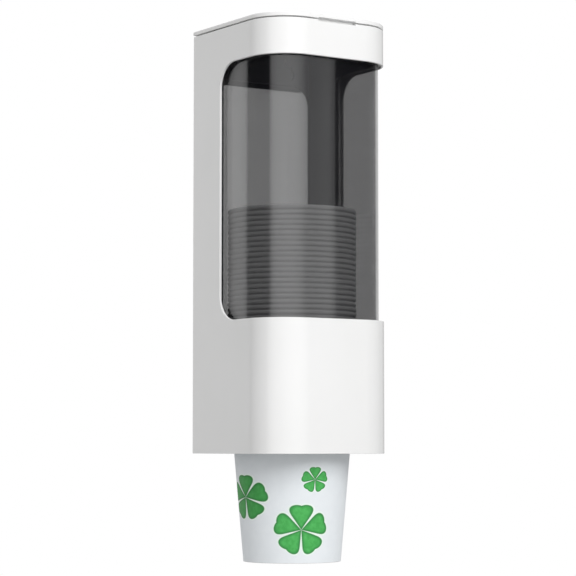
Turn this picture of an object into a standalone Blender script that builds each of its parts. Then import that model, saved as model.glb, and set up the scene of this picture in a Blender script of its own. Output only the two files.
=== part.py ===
"""Wall cup dispenser that drops paper cups one at a time from a round mouth in its base.

Metres, +Z up, +X to the viewer's right, -Y towards the viewer. The wall is the plane Y = 0
and the origin is the centre of the adhesive pad that carries the dispenser.
"""

import math

import bmesh
import bpy
from mathutils import Matrix, Vector

# White housing: its width and depth follow from the cups that it holds
housing_height = 0.2521
housing_wall = 0.0028
front_corner_radius = 0.0245
rear_corner_radius = 0.0015

# Gaps between touching pieces, how far cutters run past what they cut, and how near points merge
piece_gap = 0.0003
overrun = 0.0040
weld_distance = 0.00001
edge_tolerance = 0.0001

# Window cut through the front and both sides, between the lower shroud and the top band
shroud_height = 0.0785
top_band_height = 0.0222
window_side_depth = 0.0568
window_corner_radius = 0.0120
window_edge_bevel = 0.0026

# Smoke sheet behind the window
smoke_wall = 0.0015
smoke_lap_below = 0.0160
smoke_lap_above = 0.0160
smoke_lap_side = 0.0120

# Black guide frame inside the sheet, with its own rear window
frame_wall = 0.0010
frame_back_wall = 0.0014
frame_foot_height = 0.0360
frame_top_drop = 0.0025
frame_back_top_drop = 0.0010
frame_window_setback = 0.0015
rear_window_margin = 0.0002
rear_window_bottom_drop = 0.0038
rear_window_top_drop = 0.0018
rear_window_corner = 0.0120
rear_pane_thickness = 0.0012

# Paper cups, and the room that they have in the guide frame
cup_rim_radius = 0.0385
cup_roll_radius = 0.0009
cup_neck_inset = 0.00135
cup_taper = 0.00965
cup_height = 0.0974
cup_wall = 0.00035
cup_base_recess = 0.0024
cup_base_thickness = 0.0004
stack_pitch = 0.00307
stack_cups = 34
drawn_down = 0.00632
cup_side_clearance = 0.0006
cup_front_clearance = 0.0034
cup_rear_clearance = 0.0008

# Base plate with the round mouth
plate_recess = 0.0018
plate_thickness = 0.0030
mouth_clearance = 0.0008

# Grippers that hold the lowest cup by its rim
gripper_angles_deg = (43.0, 137.0, 225.0, 315.0)
gripper_names = ("rear_right", "rear_left", "front_left", "front_right")
slider_setback = 0.0022
slider_length = 0.0070
slider_width = 0.0100
slider_height = 0.0080
slider_travel = 0.0024
rim_rise = 0.0340
rail_thickness = 0.0016
rail_height = 0.0045
rail_lead = 0.0005
rail_overhang = 0.0010
finger_width = 0.0080
finger_thickness = 0.0016
finger_pad_thickness = 0.0022
finger_tip_gap = 0.00035

# Screws: pan heads under the base plate
screw_shank_radius = 0.0011
screw_head_radius = 0.0024
screw_head_thickness = 0.0011
screw_length = 0.0100
boss_height = 0.0110
boss_sink = 0.0005
front_boss_inset = 0.0010
side_boss_clearance = 0.00075
frame_boss_clearance = 0.00166

# Lid and its rear hinge
lid_thickness = 0.0024
hinge_setback = 0.0006
barrel_radius = 0.0016
hinge_side_inset = 0.0310
barrel_length = 0.0100
knuckle_length = 0.0080
knuckle_foot = 0.0040
hinge_pin_radius = 0.0006
hinge_pin_end_wall = 0.0010
lid_rib_thickness = 0.0012
lid_rib_depth = 0.0018
lid_rib_clearance = 0.0004
lid_rib_setback = 0.0200
lid_notch_half_width = 0.0132
lid_notch_height = 0.0012
lid_notch_depth = 0.0022

# Wall bracket, its adhesive pad and the rear bumpers
bracket_centre_drop = 0.0151
bracket_side_inset = 0.0080
bracket_half_height = 0.0120
bracket_thickness = 0.0022
bracket_corner_radius = 0.0040
pad_thickness = 0.0010
pad_margin = 0.0015
hook_side_inset = 0.0130
hook_rise = 0.0060
hook_stem_radius = 0.0020
hook_head_radius = 0.0036
hook_head_thickness = 0.0014
lift_travel = 0.0080
bumper_radius = 0.0050
bumper_side_inset = 0.0120
bumper_height = 0.0120

# Segment counts, and shapes given as shares
corner_steps = 12
small_corner_steps = 6
round_segments = 32
cup_segments = 48
stack_segments = 32
screw_segments = 12
mouth_segments = 72
roll_steps = 6
bevel_segments = 4
sharp_angle_deg = 35.0
roll_turn_share = 0.75
slot_round_share = 0.98

# Places worked out from the sizes
smoke_inset = housing_wall + piece_gap
frame_inset = smoke_inset + smoke_wall + piece_gap
well_half_width = cup_rim_radius + cup_side_clearance
half_width = well_half_width + frame_wall + frame_inset
housing_width = 2 * half_width
back_y = -(pad_thickness + piece_gap + bracket_thickness + piece_gap)
axis_y = back_y - frame_back_wall - cup_rear_clearance - cup_rim_radius
front_y = axis_y - cup_rim_radius - cup_front_clearance - frame_wall - frame_inset
base_z = bracket_centre_drop - housing_height
seam_z = base_z + housing_height
window_bottom_z = base_z + shroud_height
window_top_z = seam_z - top_band_height
window_rear_y = front_y + window_side_depth
rear_window_half_width = well_half_width - rear_window_margin
rear_window_bottom_z = window_bottom_z - rear_window_bottom_drop
rear_window_top_z = window_top_z - rear_window_top_drop
frame_bottom_z = base_z + frame_foot_height
frame_top_z = seam_z - frame_top_drop
plate_bottom_z = base_z + plate_recess
plate_top_z = plate_bottom_z + plate_thickness
hinge_y = back_y - hinge_setback
hinge_z = seam_z + piece_gap + lid_thickness / 2
barrel_start = half_width - hinge_side_inset
bracket_half_width = half_width - bracket_side_inset
hook_half_spacing = bracket_half_width - hook_side_inset
bumper_half_spacing = half_width - bumper_side_inset
screw_seat_z = plate_bottom_z - piece_gap
screw_hole_radius = screw_shank_radius + piece_gap
screw_wall_clearance = screw_head_radius + piece_gap
boss_radius = screw_wall_clearance + boss_sink
mouth_radius = cup_rim_radius + mouth_clearance
slider_inner_radius = mouth_radius + slider_setback
slider_outer_radius = slider_inner_radius + slider_length
screw_radius_from_axis = slider_inner_radius + slider_length / 2
rail_half_span = slider_width / 2 + piece_gap + rail_thickness
cup_base_radius = cup_rim_radius - cup_taper
cup_neck_height = cup_height - 2 * cup_roll_radius
cup_neck_radius = cup_rim_radius - cup_neck_inset
cup_slope = (cup_neck_radius - cup_base_radius) / cup_neck_height
cup_hang = cup_height - rim_rise
lowest_rim_height = rim_rise + drawn_down + stack_pitch
stack_top_height = lowest_rim_height + (stack_cups - 1) * stack_pitch

# Colours as red, green, blue
white = (0.90, 0.90, 0.90)
black = (0.020, 0.020, 0.022)
smoke = (0.10, 0.10, 0.105)
paper = (0.86, 0.89, 0.91)
steel = (0.62, 0.62, 0.64)
silicone = (0.55, 0.57, 0.58)
foam = (0.10, 0.10, 0.10)


def empty_scene():
    """Remove what the scene holds."""
    for thing in list(bpy.data.objects):
        bpy.data.objects.remove(thing, do_unlink=True)


def new_collection(name):
    """Make a collection under the scene."""
    collection = bpy.data.collections.new(name)
    bpy.context.scene.collection.children.link(collection)
    return collection


def finish_material(name, colour, roughness, metallic=0.0, alpha=1.0):
    """A plain finish for one piece."""
    finish = bpy.data.materials.new(name)
    finish.use_nodes = True
    shader = finish.node_tree.nodes["Principled BSDF"]
    shader.inputs["Base Color"].default_value = (*colour, 1.0)
    shader.inputs["Roughness"].default_value = roughness
    shader.inputs["Metallic"].default_value = metallic
    shader.inputs["Alpha"].default_value = alpha
    return finish


def place(thing, collection):
    """Put an object in one collection only."""
    for old in list(thing.users_collection):
        old.objects.unlink(thing)
    collection.objects.link(thing)


def as_part(thing, name, finish):
    """Name a finished piece and give it its finish."""
    thing.name = name
    thing.data.name = name
    thing.data.materials.clear()
    thing.data.materials.append(finish)
    place(thing, parts)
    thing.data.shade_smooth()
    thing.data.set_sharp_from_angle(angle=math.radians(sharp_angle_deg))
    return thing


def as_cutter(thing):
    """Keep a cutting or joining body out of the part."""
    thing.hide_render = True
    thing.display_type = 'WIRE'
    place(thing, cutters)
    return thing


def boolean(target, tool, operation):
    """Cut the target with a tool body, or join the two."""
    as_cutter(tool)
    step = target.modifiers.new(operation.lower(), 'BOOLEAN')
    step.operation = operation
    step.solver = 'EXACT'
    step.object = tool
    return target


def filleted(corners, steps):
    """Points of a closed outline whose corners (x, y, radius) are rounded with arcs."""
    points = []
    count = len(corners)
    for index, (x, y, radius) in enumerate(corners):
        here = Vector((x, y))
        if not radius:
            points.append((x, y))
            continue
        before = Vector(corners[index - 1][:2]) - here
        after = Vector(corners[(index + 1) % count][:2]) - here
        before.normalize()
        after.normalize()
        half_angle = before.angle(after) / 2
        reach = radius / math.tan(half_angle)
        centre = here + (before + after).normalized() * radius / math.sin(half_angle)
        start = here + before * reach - centre
        end = here + after * reach - centre
        sweep = start.angle_signed(end)
        for step in range(steps + 1):
            turned_by = Matrix.Rotation(-sweep * step / steps, 2)
            points.append(tuple(centre + turned_by @ start))
    return points


def rectangle(half_x, half_y, radius=0.0, centre=(0.0, 0.0)):
    """Corners of a rectangle, turned left, all with one radius."""
    signs = ((-1, -1), (1, -1), (1, 1), (-1, 1))
    return [(centre[0] + sx * half_x, centre[1] + sy * half_y, radius) for sx, sy in signs]


def extruded(name, outlines, thickness, matrix):
    """A flat outline, with any inner outlines as holes, drawn out to a thickness both ways."""
    curve = bpy.data.curves.new(name, 'CURVE')
    curve.dimensions = '2D'
    curve.fill_mode = 'BOTH'
    curve.extrude = thickness / 2
    for outline in outlines:
        spline = curve.splines.new('POLY')
        spline.points.add(len(outline) - 1)
        for point, (x, y) in zip(spline.points, outline):
            point.co = (x, y, 0.0, 1.0)
        spline.use_cyclic_u = True
    drawn = bpy.data.objects.new(name, curve)
    drawn.matrix_world = matrix
    bpy.context.scene.collection.objects.link(drawn)
    return curve_to_mesh(drawn)


def curve_to_mesh(drawn):
    """Turn a curve object into a closed mesh object in the same place."""
    bpy.context.view_layer.update()
    evaluated = drawn.evaluated_get(bpy.context.evaluated_depsgraph_get())
    mesh = bpy.data.meshes.new_from_object(evaluated)
    body = bpy.data.objects.new(drawn.name, mesh)
    body.matrix_world = drawn.matrix_world.copy()
    bpy.context.scene.collection.objects.link(body)
    bpy.data.objects.remove(drawn, do_unlink=True)
    work = bmesh.new()
    work.from_mesh(mesh)
    bmesh.ops.remove_doubles(work, verts=work.verts, dist=weld_distance)
    bmesh.ops.recalc_face_normals(work, faces=work.faces)
    work.to_mesh(mesh)
    work.free()
    return body


def plan_extrusion(name, outlines, low_z, high_z):
    """An outline seen from above, drawn up from one height to another."""
    return extruded(name, outlines, high_z - low_z, Matrix.Translation((0, 0, (low_z + high_z) / 2)))


def side_extrusion(name, outlines, width):
    """An outline of (y, z) points, drawn out along X about the middle plane."""
    turned_side = Matrix(((0, 0, 1, 0), (1, 0, 0, 0), (0, 1, 0, 0), (0, 0, 0, 1)))
    return extruded(name, outlines, width, turned_side)


def face_extrusion(name, outlines, low_y, high_y):
    """An outline of (x, z) points, drawn out along Y from one depth to another."""
    turned_face = Matrix(((1, 0, 0, 0), (0, 0, -1, 0), (0, 1, 0, 0), (0, 0, 0, 1)))
    shift = Matrix.Translation((0, (low_y + high_y) / 2, 0))
    return extruded(name, outlines, high_y - low_y, shift @ turned_face)


def cylinder(name, radius, length, centre, axis='Z', segments=round_segments):
    """A round bar along one axis."""
    turns = {'X': (0, math.pi / 2, 0), 'Y': (math.pi / 2, 0, 0), 'Z': (0, 0, 0)}
    bpy.ops.mesh.primitive_cylinder_add(
        vertices=segments, radius=radius, depth=length, location=centre, rotation=turns[axis])
    bar = bpy.context.object
    bar.name = name
    return bar


def box(name, low, high):
    """A block between two corners."""
    bpy.ops.mesh.primitive_cube_add(size=1)
    block = bpy.context.object
    block.name = name
    size = [b - a for a, b in zip(low, high)]
    middle = [(a + b) / 2 for a, b in zip(low, high)]
    block.data.transform(Matrix.Diagonal((*size, 1)))
    block.location = middle
    return block


def turned(name, profile, segments, centre):
    """A body turned about an upright axis from (radius, height) points, outer side downwards."""
    mesh = bpy.data.meshes.new(name)
    points = [(radius, 0.0, height) for radius, height in profile]
    edges = [(index, index + 1) for index in range(len(points) - 1)]
    mesh.from_pydata(points, edges, [])
    body = bpy.data.objects.new(name, mesh)
    body.location = centre
    bpy.context.scene.collection.objects.link(body)
    screw = body.modifiers.new('turn', 'SCREW')
    screw.steps = segments
    screw.render_steps = segments
    screw.use_merge_vertices = True
    screw.merge_threshold = weld_distance
    screw.use_smooth_shade = True
    return body


def shell_corners(inset, rear_y, rear_radius=0.0):
    """Corners of the housing's plan, moved inwards, from rear left round the front to rear right."""
    side = half_width - inset
    radius = front_corner_radius - inset
    return [
        (-side, rear_y, rear_radius),
        (-side, front_y + inset, radius),
        (side, front_y + inset, radius),
        (side, rear_y, rear_radius),
    ]


def open_shell(name, inset, wall, rear_y, low_z, high_z, rear_radius=0.0):
    """An upright U-shaped wall that follows the housing's plan and is open at the rear."""
    outer = shell_corners(inset, rear_y, rear_radius)
    inner = shell_corners(inset + wall, rear_y)
    return plan_extrusion(name, [filleted(outer + inner[::-1], corner_steps)], low_z, high_z)


def window_cutter(name, shrink):
    """The window's shape seen from the side, drawn out past both side walls."""
    low = window_bottom_z + shrink
    high = window_top_z - shrink
    rear = window_rear_y - shrink
    radius = window_corner_radius - shrink
    front = front_y - overrun
    corners = [(front, low, 0.0), (rear, low, radius), (rear, high, radius), (front, high, 0.0)]
    return side_extrusion(name, [filleted(corners, small_corner_steps)], housing_width + 2 * overrun)


def on_angle(radius, angle_deg):
    """Point in plan at a radius from the cups' axis."""
    angle = math.radians(angle_deg)
    return radius * math.cos(angle), axis_y + radius * math.sin(angle)


empty_scene()
parts = new_collection("cup_dispenser")
cutters = new_collection("cutters")


def housing_screw_places():
    """Plan places of the four screws into the housing: two in front, two beside the rear rails."""
    angle = math.radians(gripper_angles_deg[0])
    front_x = half_width - front_corner_radius - front_boss_inset
    front_place_y = front_y + housing_wall + screw_wall_clearance
    side_x = half_width - housing_wall - screw_wall_clearance
    rail_distance = rail_half_span + side_boss_clearance + boss_radius
    rear_place_y = axis_y + (side_x * math.sin(angle) - rail_distance) / math.cos(angle)
    return [
        (-front_x, front_place_y),
        (front_x, front_place_y),
        (-side_x, rear_place_y),
        (side_x, rear_place_y),
    ]


def frame_screw_places():
    """Plan places of the two screws into the guide frame, between the rear rails."""
    angle = math.radians(gripper_angles_deg[0])
    place_y = back_y - frame_back_wall - screw_wall_clearance
    rail_distance = rail_half_span + frame_boss_clearance + boss_radius
    place_x = ((place_y - axis_y) * math.cos(angle) - rail_distance) / math.sin(angle)
    return [(-place_x, place_y), (place_x, place_y)]


def add_bosses(body, places):
    """Screw bosses that stand just over the base plate, each with a blind hole from below."""
    low_z = plate_top_z + piece_gap
    hole_top_z = screw_seat_z + screw_length + piece_gap
    for x, y in places:
        middle_z = low_z + boss_height / 2
        boolean(body, cylinder("boss", boss_radius, boss_height, (x, y, middle_z)), 'UNION')
    for x, y in places:
        length = hole_top_z - low_z + overrun
        middle_z = hole_top_z - length / 2
        hole = cylinder("boss_hole", screw_hole_radius, length, (x, y, middle_z), 'Z', screw_segments)
        boolean(body, hole, 'DIFFERENCE')


def settled(body):
    """Give an object the mesh that its modifiers make, with its place in the mesh."""
    bpy.context.view_layer.update()
    evaluated = body.evaluated_get(bpy.context.evaluated_depsgraph_get())
    body.data = bpy.data.meshes.new_from_object(evaluated)
    body.modifiers.clear()
    body.data.transform(body.matrix_world)
    body.matrix_world = Matrix.Identity(4)
    return body


def inset_of(x, y):
    """How far a point in plan lies inside the housing's outer face."""
    centre_x = half_width - front_corner_radius
    centre_y = front_y + front_corner_radius
    if abs(x) > centre_x and y < centre_y:
        return front_corner_radius - math.hypot(abs(x) - centre_x, y - centre_y)
    return min(half_width - abs(x), y - front_y)


def round_window_edge(body):
    """Round the outer edge of the housing's window."""
    work = bmesh.new()
    work.from_mesh(body.data)

    def outside(face):
        return all(inset_of(v.co.x, v.co.y) < edge_tolerance for v in face.verts)

    def in_window(edge):
        low = window_bottom_z - edge_tolerance
        high = window_top_z + edge_tolerance
        rear = window_rear_y + edge_tolerance
        return all(low <= v.co.z <= high and v.co.y <= rear for v in edge.verts)

    edges = [
        edge for edge in work.edges
        if in_window(edge) and len(edge.link_faces) == 2
        and outside(edge.link_faces[0]) != outside(edge.link_faces[1])
        and all(inset_of(v.co.x, v.co.y) < edge_tolerance for v in edge.verts)
    ]
    bmesh.ops.bevel(work, geom=edges, offset=window_edge_bevel, segments=bevel_segments,
                    profile=0.5, affect='EDGES', clamp_overlap=False)
    work.to_mesh(body.data)
    work.free()


def make_housing():
    """The white outer cover: both sides, top band, lower shroud and the window between them."""
    shell = open_shell("housing", 0.0, housing_wall, back_y, base_z, seam_z, rear_corner_radius)
    boolean(shell, window_cutter("window_cut", 0.0), 'DIFFERENCE')
    settled(shell)
    round_window_edge(shell)
    add_bosses(shell, housing_screw_places())
    as_part(shell, "housing", finish_material("housing_white", white, 0.25))


def make_smoke_window():
    """The bent smoke sheet, trapped between the housing and the guide frame."""
    sheet = open_shell(
        "smoke_window", smoke_inset, smoke_wall, window_rear_y + smoke_lap_side,
        window_bottom_z - smoke_lap_below, window_top_z + smoke_lap_above)
    as_part(sheet, "smoke_window", finish_material("smoke_acrylic", smoke, 0.05, alpha=0.4))


def keyhole_tools(x):
    """Slot and entry hole that let the frame drop on a hook."""
    hook_z = hook_rise
    slot_half = hook_stem_radius + piece_gap
    low_z = hook_z - lift_travel
    corners = [
        (x - slot_half, low_z, 0.0),
        (x + slot_half, low_z, 0.0),
        (x + slot_half, hook_z + slot_half, slot_half * slot_round_share),
        (x - slot_half, hook_z + slot_half, slot_half * slot_round_share),
    ]
    low_y = back_y - frame_back_wall - overrun
    high_y = back_y + overrun
    slot = face_extrusion("slot", [filleted(corners, small_corner_steps)], low_y, high_y)
    entry = cylinder("entry", hook_head_radius + piece_gap, high_y - low_y,
                     (x, (low_y + high_y) / 2, low_z), 'Y')
    return [slot, entry]


def make_guide_frame():
    """Black frame that guides the cups, lines the housing and carries hinge, hooks and screws."""
    back_plate_top_z = seam_z - frame_back_top_drop
    frame = open_shell(
        "guide_frame", frame_inset, frame_wall, back_y - frame_back_wall / 2,
        frame_bottom_z, frame_top_z)
    side = half_width - smoke_inset
    plate = box("back_plate", (-side, back_y - frame_back_wall, plate_top_z + piece_gap),
                (side, back_y, back_plate_top_z))
    boolean(frame, plate, 'UNION')
    for sign in (-1, 1):
        start = barrel_start + barrel_length + piece_gap
        middle_x = sign * (start + knuckle_length / 2)
        foot_half = knuckle_length / 2 - piece_gap
        foot_low = (middle_x - foot_half, hinge_y - barrel_radius + piece_gap, seam_z - knuckle_foot)
        foot_high = (middle_x + foot_half, back_y - piece_gap, hinge_z)
        boolean(frame, box("knuckle_foot", foot_low, foot_high), 'UNION')
        barrel = cylinder("knuckle", barrel_radius, knuckle_length, (middle_x, hinge_y, hinge_z), 'X')
        boolean(frame, barrel, 'UNION')
        hole_length = knuckle_length - hinge_pin_end_wall + overrun
        hole_x = sign * (start + knuckle_length - hinge_pin_end_wall - hole_length / 2)
        hole = cylinder("pin_hole", hinge_pin_radius + piece_gap, hole_length,
                        (hole_x, hinge_y, hinge_z), 'X', screw_segments)
        boolean(frame, hole, 'DIFFERENCE')
    boolean(frame, window_cutter("frame_window_cut", -frame_window_setback), 'DIFFERENCE')
    centre_z = (rear_window_bottom_z + rear_window_top_z) / 2
    half_height = (rear_window_top_z - rear_window_bottom_z) / 2
    outline = filleted(
        rectangle(rear_window_half_width, half_height, rear_window_corner, (0.0, centre_z)),
        small_corner_steps)
    low_y = back_y - frame_back_wall - overrun
    boolean(frame, face_extrusion("rear_cut", [outline], low_y, back_y + overrun), 'DIFFERENCE')
    for sign in (-1, 1):
        for tool in keyhole_tools(sign * hook_half_spacing):
            boolean(frame, tool, 'DIFFERENCE')
    add_bosses(frame, frame_screw_places())
    as_part(frame, "guide_frame", finish_material("frame_black", black, 0.4))


def make_rear_pane():
    """Smoke pane that closes the window in the frame's back."""
    centre_z = (rear_window_bottom_z + rear_window_top_z) / 2
    half_height = (rear_window_top_z - rear_window_bottom_z) / 2 - piece_gap
    half_across = rear_window_half_width - piece_gap
    corner = rear_window_corner - piece_gap
    outline = filleted(
        rectangle(half_across, half_height, corner, (0.0, centre_z)), small_corner_steps)
    pane = face_extrusion("rear_pane", [outline], back_y - rear_pane_thickness, back_y)
    as_part(pane, "rear_pane", finish_material("smoke_pane", smoke, 0.05, alpha=0.4))


def radial_matrix(angle_deg):
    """Frame on the cups' axis whose X runs outwards at an angle, Y runs up and Z across."""
    angle = math.radians(angle_deg)
    outwards = Vector((math.cos(angle), math.sin(angle), 0))
    upwards = Vector((0, 0, 1))
    across = outwards.cross(upwards)
    matrix = Matrix((outwards, upwards, across)).transposed().to_4x4()
    matrix.translation = (0, axis_y, 0)
    return matrix


def radial_box(name, inner, outer, low_z, high_z, low_across, high_across, angle_deg):
    """A block that runs outwards from the cups' axis at an angle."""
    outline = [(inner, low_z), (outer, low_z), (outer, high_z), (inner, high_z)]
    shift = Matrix.Translation((0, 0, (low_across + high_across) / 2))
    return extruded(name, [outline], high_across - low_across, radial_matrix(angle_deg) @ shift)


def make_base_plate():
    """Plate that closes the base round the mouth and carries the grippers' rails."""
    outline = filleted(shell_corners(smoke_inset, back_y), corner_steps)
    plate = plan_extrusion("base_plate", [outline], plate_bottom_z, plate_top_z)
    middle_z = (plate_bottom_z + plate_top_z) / 2
    for angle_deg in gripper_angles_deg:
        for sign in (-1, 1):
            near = slider_width / 2 + piece_gap
            across = sorted((sign * near, sign * (near + rail_thickness)))
            rail = radial_box(
                "rail", slider_inner_radius - rail_lead, slider_outer_radius + rail_overhang,
                middle_z, plate_top_z + rail_height, across[0], across[1], angle_deg)
            boolean(plate, rail, 'UNION')
    height = plate_thickness + 2 * overrun
    mouth = cylinder("mouth", mouth_radius, height, (0, axis_y, middle_z), 'Z', mouth_segments)
    boolean(plate, mouth, 'DIFFERENCE')
    for angle_deg in gripper_angles_deg:
        slot = radial_box(
            "slider_slot", screw_radius_from_axis - screw_hole_radius,
            screw_radius_from_axis + slider_travel + screw_hole_radius, plate_bottom_z - overrun,
            plate_top_z + overrun, -screw_hole_radius, screw_hole_radius, angle_deg)
        boolean(plate, slot, 'DIFFERENCE')
    for x, y in housing_screw_places() + frame_screw_places():
        hole = cylinder("plate_hole", screw_hole_radius, height, (x, y, middle_z), 'Z', screw_segments)
        boolean(plate, hole, 'DIFFERENCE')
    as_part(plate, "base_plate", finish_material("plate_white", white, 0.35))


def screw_body(name, x, y):
    """Pan-head screw driven up from under the base plate."""
    length = screw_length + screw_head_thickness
    top_z = screw_seat_z + screw_length
    shank = cylinder(name, screw_shank_radius, length, (x, y, top_z - length / 2), 'Z', screw_segments)
    head = cylinder("head", screw_head_radius, screw_head_thickness,
                    (x, y, screw_seat_z - screw_head_thickness / 2), 'Z', screw_segments)
    boolean(shank, head, 'UNION')
    return settled(shank)


def make_base_screws():
    """The four screws into the housing and the two into the guide frame."""
    steel_finish = finish_material("screw_steel", steel, 0.3, 1.0)
    names = ("housing_screw_front_left", "housing_screw_front_right", "housing_screw_rear_left",
             "housing_screw_rear_right", "frame_screw_left", "frame_screw_right")
    for name, (x, y) in zip(names, housing_screw_places() + frame_screw_places()):
        as_part(screw_body(name, x, y), name, steel_finish)


def make_grippers():
    """Four adjustable sliders, each with a soft finger under the cup's rim and a clamping screw."""
    slider_finish = finish_material("slider_white", white, 0.4)
    finger_finish = finish_material("finger_silicone", silicone, 0.6)
    steel_finish = finish_material("clamp_steel", steel, 0.3, 1.0)
    slider_low_z = plate_top_z + piece_gap
    slider_top_z = slider_low_z + slider_height
    pad_low_z = slider_top_z + piece_gap
    pad_top_z = pad_low_z + finger_pad_thickness
    tip_z = base_z - cup_hang + cup_neck_height - piece_gap
    tip_radius = cup_neck_radius + finger_tip_gap
    tip_low_z = tip_z - finger_thickness
    finger_outline = [
        (slider_outer_radius, pad_low_z),
        (slider_outer_radius, pad_top_z),
        (slider_inner_radius + 2 * finger_thickness, pad_top_z),
        (tip_radius + finger_thickness, tip_low_z),
        (tip_radius + finger_thickness, tip_z),
        (tip_radius, tip_z),
        (tip_radius, tip_low_z),
        (slider_inner_radius, pad_top_z),
        (slider_inner_radius, pad_low_z),
    ]
    for name, angle_deg in zip(gripper_names, gripper_angles_deg):
        slider = radial_box(
            "slider", slider_inner_radius, slider_outer_radius, slider_low_z, slider_top_z,
            -slider_width / 2, slider_width / 2, angle_deg)
        x, y = on_angle(screw_radius_from_axis, angle_deg)
        hole_top_z = screw_seat_z + screw_length + piece_gap
        hole_length = hole_top_z - slider_low_z + overrun
        hole = cylinder("slider_hole", screw_hole_radius, hole_length,
                        (x, y, hole_top_z - hole_length / 2), 'Z', screw_segments)
        boolean(slider, hole, 'DIFFERENCE')
        as_part(slider, "slider_" + name, slider_finish)
        finger = extruded("finger", [finger_outline], finger_width, radial_matrix(angle_deg))
        as_part(finger, "finger_" + name, finger_finish)
        as_part(screw_body("clamp", x, y), "clamp_screw_" + name, steel_finish)


def make_lid():
    """Thin lid over the top opening, hinged at the rear, with a finger notch at the front."""
    low_z = seam_z + piece_gap
    top_z = low_z + lid_thickness
    outline = filleted(shell_corners(0.0, hinge_y), corner_steps)
    lid = plan_extrusion("lid", [outline], low_z, top_z)
    edge = cylinder("lid_edge", lid_thickness / 2, housing_width, (0, hinge_y, hinge_z), 'X')
    boolean(lid, edge, 'UNION')
    rib = open_shell(
        "lid_rib", housing_wall + lid_rib_clearance, lid_rib_thickness, back_y - lid_rib_setback,
        seam_z - lid_rib_depth, low_z + lid_thickness / 2)
    boolean(lid, rib, 'UNION')
    for sign in (-1, 1):
        middle_x = sign * (barrel_start + barrel_length / 2)
        barrel = cylinder("barrel", barrel_radius, barrel_length, (middle_x, hinge_y, hinge_z), 'X')
        boolean(lid, barrel, 'UNION')
        near_x = barrel_start + barrel_length
        far_x = near_x + knuckle_length + 2 * piece_gap
        across = sorted((sign * near_x, sign * far_x))
        reach_y = hinge_y - barrel_radius - piece_gap
        notch = box("knuckle_notch", (across[0], reach_y, low_z - overrun),
                    (across[1], back_y + overrun, top_z + overrun))
        boolean(lid, notch, 'DIFFERENCE')
        hole_length = barrel_length - hinge_pin_end_wall + overrun
        hole_x = sign * (barrel_start + hinge_pin_end_wall + hole_length / 2)
        hole = cylinder("barrel_hole", hinge_pin_radius + piece_gap, hole_length,
                        (hole_x, hinge_y, hinge_z), 'X', screw_segments)
        boolean(lid, hole, 'DIFFERENCE')
    notch = box("finger_notch", (-lid_notch_half_width, front_y - overrun, low_z - overrun),
                (lid_notch_half_width, front_y + lid_notch_depth, low_z + lid_notch_height))
    boolean(lid, notch, 'DIFFERENCE')
    as_part(lid, "lid", finish_material("lid_white", white, 0.25))


def make_hinge_pins():
    """Two short steel pins that join the lid's barrels to the frame's knuckles."""
    pin_finish = finish_material("pin_steel", steel, 0.25, 1.0)
    start = barrel_start + hinge_pin_end_wall + piece_gap
    end = barrel_start + barrel_length + piece_gap + knuckle_length - hinge_pin_end_wall - piece_gap
    for name, sign in (("left", -1), ("right", 1)):
        middle_x = sign * (start + end) / 2
        pin = cylinder("pin", hinge_pin_radius, end - start, (middle_x, hinge_y, hinge_z), 'X',
                       screw_segments)
        as_part(pin, "hinge_pin_" + name, pin_finish)


def make_wall_bracket():
    """Plate with two headed hooks that the guide frame's keyholes drop over."""
    front_face_y = back_y + piece_gap
    rear_face_y = front_face_y + bracket_thickness
    outline = filleted(
        rectangle(bracket_half_width, bracket_half_height, bracket_corner_radius), small_corner_steps)
    bracket = face_extrusion("wall_bracket", [outline], front_face_y, rear_face_y)
    head_rear_y = back_y - frame_back_wall - piece_gap
    for sign in (-1, 1):
        x = sign * hook_half_spacing
        stem_low_y = head_rear_y - hook_head_thickness / 2
        stem_high_y = (front_face_y + rear_face_y) / 2
        stem = cylinder("stem", hook_stem_radius, stem_high_y - stem_low_y,
                        (x, (stem_low_y + stem_high_y) / 2, hook_rise), 'Y')
        boolean(bracket, stem, 'UNION')
        head = cylinder("hook_head", hook_head_radius, hook_head_thickness,
                        (x, head_rear_y - hook_head_thickness / 2, hook_rise), 'Y')
        boolean(bracket, head, 'UNION')
    as_part(bracket, "wall_bracket", finish_material("bracket_black", black, 0.5))


def make_wall_pad():
    """Foam adhesive pad between the bracket and the wall."""
    outline = filleted(
        rectangle(bracket_half_width - pad_margin, bracket_half_height - pad_margin,
                  bracket_corner_radius - pad_margin), small_corner_steps)
    pad = face_extrusion("wall_pad", [outline], -pad_thickness, 0.0)
    as_part(pad, "wall_pad", finish_material("pad_foam", foam, 0.9))


def make_rear_bumpers():
    """Two soft discs low on the back that keep the dispenser upright against the wall."""
    bumper_finish = finish_material("bumper_rubber", foam, 0.8)
    low_y = back_y + piece_gap
    for name, sign in (("left", -1), ("right", 1)):
        place_at = (sign * bumper_half_spacing, low_y / 2, base_z + bumper_height)
        disc = cylinder("bumper", bumper_radius, -low_y, place_at, 'Y')
        as_part(disc, "rear_bumper_" + name, bumper_finish)


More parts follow.
